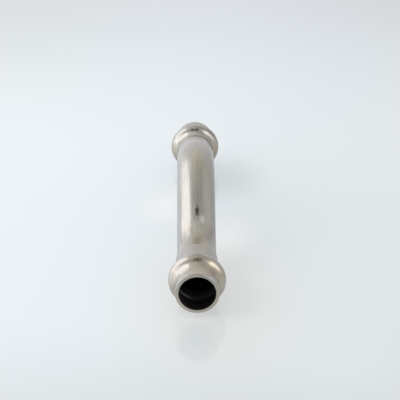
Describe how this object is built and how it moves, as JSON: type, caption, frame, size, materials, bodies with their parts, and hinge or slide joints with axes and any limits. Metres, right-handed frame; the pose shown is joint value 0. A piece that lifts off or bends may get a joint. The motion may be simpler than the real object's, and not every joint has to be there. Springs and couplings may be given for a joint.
{
  "type": "press crossover fitting",
  "caption": "Stainless crossover tube fitting with a beaded press socket and a rubber sealing ring at each end, and a hump that passes over a crossing pipe.",
  "frame": {"origin": "centre of the near socket's mouth", "axes": "+Y along the sockets' common axis from the near mouth to the far mouth, +Z towards the top of the hump, +X across"},
  "size_m": [0.0248, 0.1661, 0.0428],
  "materials": {
    "stainless": "satin pickled stainless steel, slightly mottled, with faint forming marks",
    "seal_rubber": "smooth black rubber, lightly greased"
  },
  "bodies": {
    "root": {"crossover_body": "stainless", "near_seal_ring": "seal_rubber", "far_seal_ring": "seal_rubber"}
  },
  "joints": []
}
